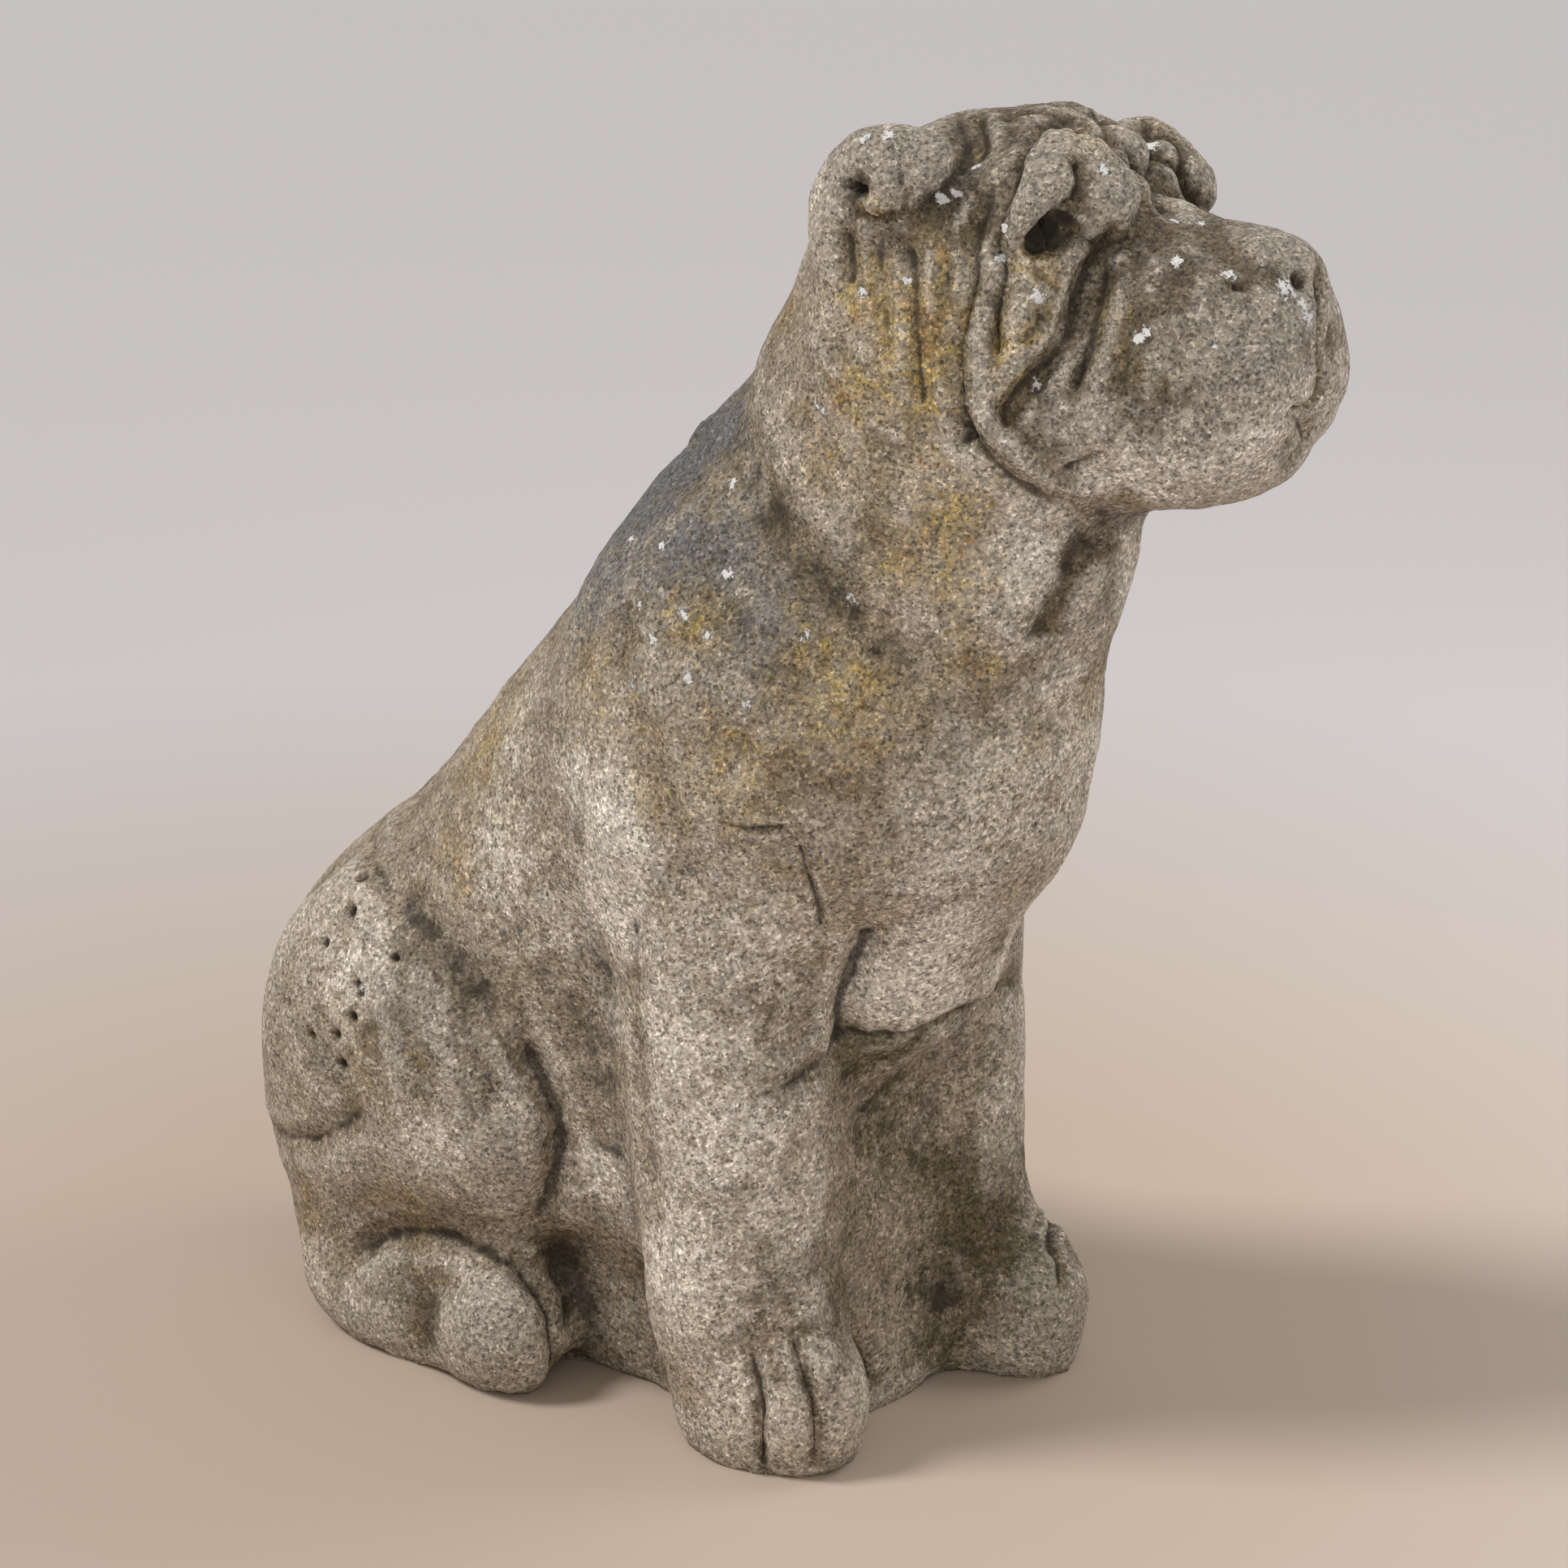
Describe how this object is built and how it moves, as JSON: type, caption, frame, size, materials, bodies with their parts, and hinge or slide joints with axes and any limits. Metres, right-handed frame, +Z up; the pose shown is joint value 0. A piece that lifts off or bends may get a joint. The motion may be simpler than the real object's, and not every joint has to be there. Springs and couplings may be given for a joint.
{
  "type": "bulldog statue",
  "caption": "Seated bulldog garden figure in weathered cast stone, one solid piece that stands on its flat underside.",
  "frame": {"origin": "on the flat underside, in the dog's own midplane, between the forepaws and the rump", "axes": "+Z up, the dog faces -Y and +X is its left; the head turns towards +X"},
  "size_m": [0.2255, 0.4838, 0.5411],
  "materials": {
    "stone": "weathered, rough and grainy"
  },
  "bodies": {
    "root": {"bulldog": "stone"}
  },
  "joints": []
}
